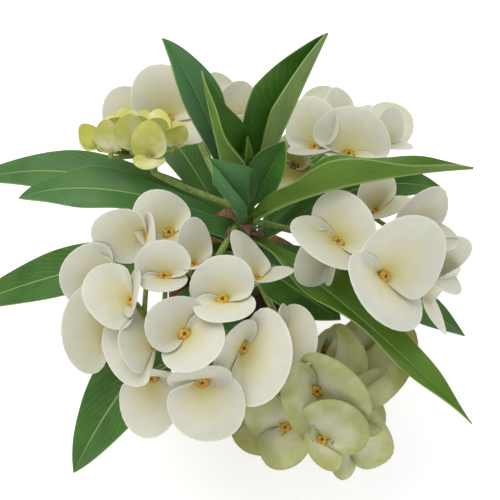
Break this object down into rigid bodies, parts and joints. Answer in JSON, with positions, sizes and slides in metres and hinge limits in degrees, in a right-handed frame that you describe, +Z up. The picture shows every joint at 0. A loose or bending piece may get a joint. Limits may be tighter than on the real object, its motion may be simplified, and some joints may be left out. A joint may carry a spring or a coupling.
{
  "type": "crown of thorns plant in a pot",
  "caption": "Potted crown of thorns succulent: a thorny stem with long folded leaves and rounded heads of cream, overlapping flower bracts, in a plain clay pot.",
  "frame": {"origin": "centre of the pot's flat foot, on the surface it stands on", "axes": "+Z up along the stem, -Y the plant's front, +X to the right seen from the front"},
  "size_m": [0.3246, 0.2845, 0.2833],
  "materials": {
    "clay": "matte",
    "soil": "matte",
    "bark": "matte",
    "leaf": "satin",
    "cream_bract": "matte",
    "pale_green_bract": "matte",
    "bud_bract": "matte"
  },
  "bodies": {
    "root": {"pot": "clay", "soil": "soil", "thorny_stem": "bark", "leaf_top_left": "leaf", "leaf_top_front": "leaf", "leaf_top_right": "leaf", "leaf_crown_front": "leaf", "leaf_crown_right": "leaf", "leaf_crown_rolled": "leaf", "leaf_right_high": "leaf", "leaf_left_front": "leaf", "leaf_left_back": "leaf", "leaf_left_low": "leaf", "leaf_front_left": "leaf", "leaf_front": "leaf", "leaf_front_right": "leaf", "leaf_shade": "leaf", "leaf_right_low": "leaf", "leaf_right_back": "leaf", "leaf_back_right": "leaf", "leaf_back_left": "leaf", "head_front_left": "cream_bract", "head_right": "cream_bract", "head_back_right": "cream_bract", "head_back_left": "cream_bract", "head_front_right": "pale_green_bract", "head_bud": "bud_bract"}
  },
  "joints": []
}
